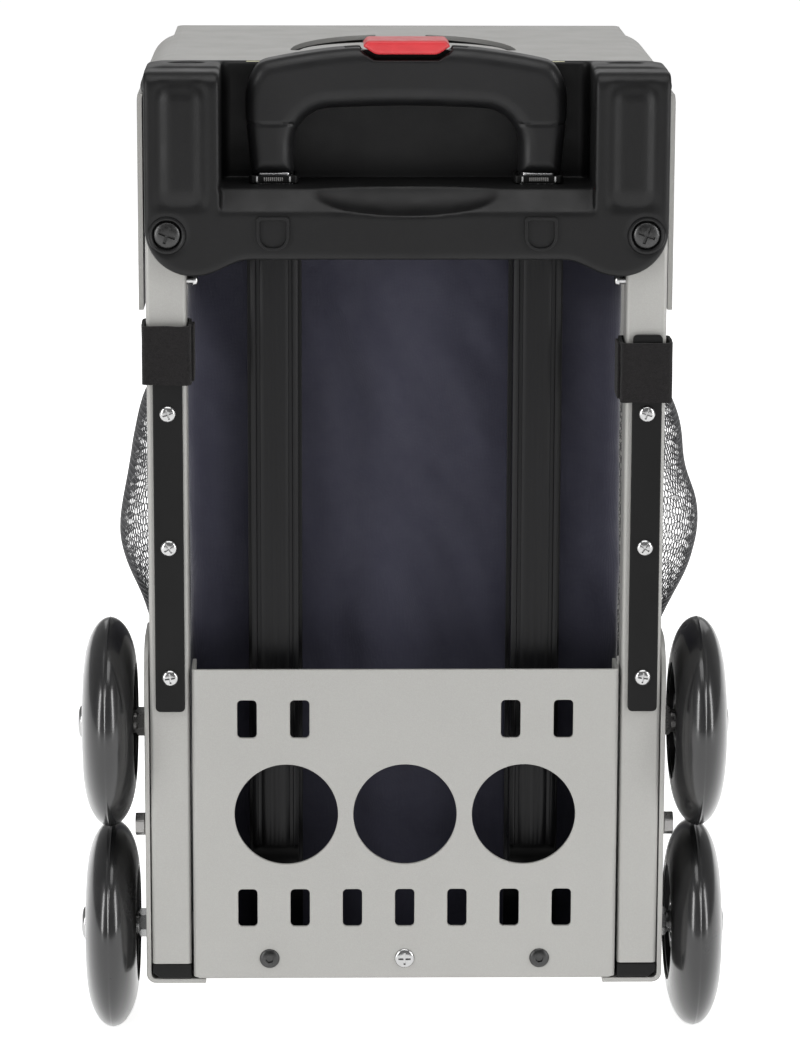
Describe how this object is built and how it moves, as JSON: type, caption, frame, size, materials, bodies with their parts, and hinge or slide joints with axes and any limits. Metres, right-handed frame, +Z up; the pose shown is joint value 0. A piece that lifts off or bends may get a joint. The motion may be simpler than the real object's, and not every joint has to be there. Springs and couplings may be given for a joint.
{
  "type": "wheeled seat bag with telescoping handle",
  "caption": "Wheeled bag with an aluminium frame, a flat metal seat on top, a telescoping tow handle, stacked side wheels, a zipped fabric body and net side pockets.",
  "frame": {"origin": "centre of the bounding box at floor level", "axes": "+Z up; the tow handle and kick plate face -Y, the zipped front faces +Y, +X is to the right seen from the handle side"},
  "size_m": [0.3404, 0.273, 0.5237],
  "materials": {
    "alloy": "fine silver-grey powder coat",
    "steel": "bright plated",
    "zinc": "dark zinc",
    "black_plastic": "fine moulded texture",
    "black_tube": "black anodised",
    "button_red": "satin",
    "tyre": "smooth polyurethane",
    "hub": "moulded",
    "bag_fabric": "woven nylon",
    "pocket_net": "open knitted net",
    "strap": "hook-and-loop tape"
  },
  "bodies": {
    "frame": {"kick_plate": "alloy", "base_tray": "alloy", "seat_plate": "alloy", "handle_housing": "black_plastic", "bag_shell": "bag_fabric", "rear_post_left": "alloy", "post_plug_left": "black_plastic", "side_hoop_left": "alloy", "wheel_bracket_left": "alloy", "bracket_bolt_left": "zinc", "guard_strip_left": "black_plastic", "front_foot_left": "black_plastic", "rail_left": "black_tube", "rail_plug_left": "black_plastic", "rail_backing_left": "black_tube", "mesh_pocket_left": "pocket_net", "strap_left": "strap", "axle_upper_left": "steel", "axle_nut_upper_left": "steel", "axle_lower_left": "steel", "axle_nut_lower_left": "steel", "rear_post_right": "alloy", "post_plug_right": "black_plastic", "side_hoop_right": "alloy", "wheel_bracket_right": "alloy", "bracket_bolt_right": "zinc", "guard_strip_right": "black_plastic", "front_foot_right": "black_plastic", "rail_right": "black_tube", "rail_plug_right": "black_plastic", "rail_backing_right": "black_tube", "mesh_pocket_right": "pocket_net", "strap_right": "strap", "axle_upper_right": "steel", "axle_nut_upper_right": "steel", "axle_lower_right": "steel", "axle_nut_lower_right": "steel"},
    "handle_mid": {"mid_tube_left": "steel", "mid_tube_right": "steel"},
    "handle_grip": {"inner_tube_left": "steel", "inner_tube_right": "steel", "grip": "black_plastic"},
    "release": {"release_button": "button_red", "release_rod_left": "black_tube", "release_rod_right": "black_tube"},
    "front_flap": {"front_flap": "bag_fabric"},
    "wheel_upper_left": {"tyre_upper_left": "tyre", "hub_upper_left": "hub", "bearing_set_upper_left": "steel"},
    "wheel_lower_left": {"tyre_lower_left": "tyre", "hub_lower_left": "hub", "bearing_set_lower_left": "steel"},
    "wheel_upper_right": {"tyre_upper_right": "tyre", "hub_upper_right": "hub", "bearing_set_upper_right": "steel"},
    "wheel_lower_right": {"tyre_lower_right": "tyre", "hub_lower_right": "hub", "bearing_set_lower_right": "steel"}
  },
  "joints": [
    {"name": "handle_lower_slide", "type": "slide", "parent": "frame", "child": "handle_mid", "axis": [0, 0, 1], "range_m": [0, 0.225]},
    {"name": "handle_upper_slide", "type": "slide", "parent": "handle_mid", "child": "handle_grip", "axis": [0, 0, 1], "range_m": [0, 0.225]},
    {"name": "release_press", "type": "slide", "parent": "handle_grip", "child": "release", "axis": [0, 0, -1], "range_m": [0, 0.0025], "stiffness_N_per_m": 600, "springref_m": -0.004},
    {"name": "flap_hinge", "type": "hinge", "parent": "frame", "child": "front_flap", "pos_m": [0, 0.1311, 0.05], "axis": [-1, 0, 0], "range_deg": [0, 90]},
    {"name": "wheel_upper_left_spin", "type": "hinge", "parent": "frame", "child": "wheel_upper_left", "pos_m": [-0.1534, -0.0815, 0.1669], "axis": [1, 0, 0], "continuous": true},
    {"name": "wheel_lower_left_spin", "type": "hinge", "parent": "frame", "child": "wheel_lower_left", "pos_m": [-0.1534, -0.0755, 0.055], "axis": [1, 0, 0], "continuous": true},
    {"name": "wheel_upper_right_spin", "type": "hinge", "parent": "frame", "child": "wheel_upper_right", "pos_m": [0.1534, -0.0815, 0.1669], "axis": [1, 0, 0], "continuous": true},
    {"name": "wheel_lower_right_spin", "type": "hinge", "parent": "frame", "child": "wheel_lower_right", "pos_m": [0.1534, -0.0755, 0.055], "axis": [1, 0, 0], "continuous": true}
  ]
}
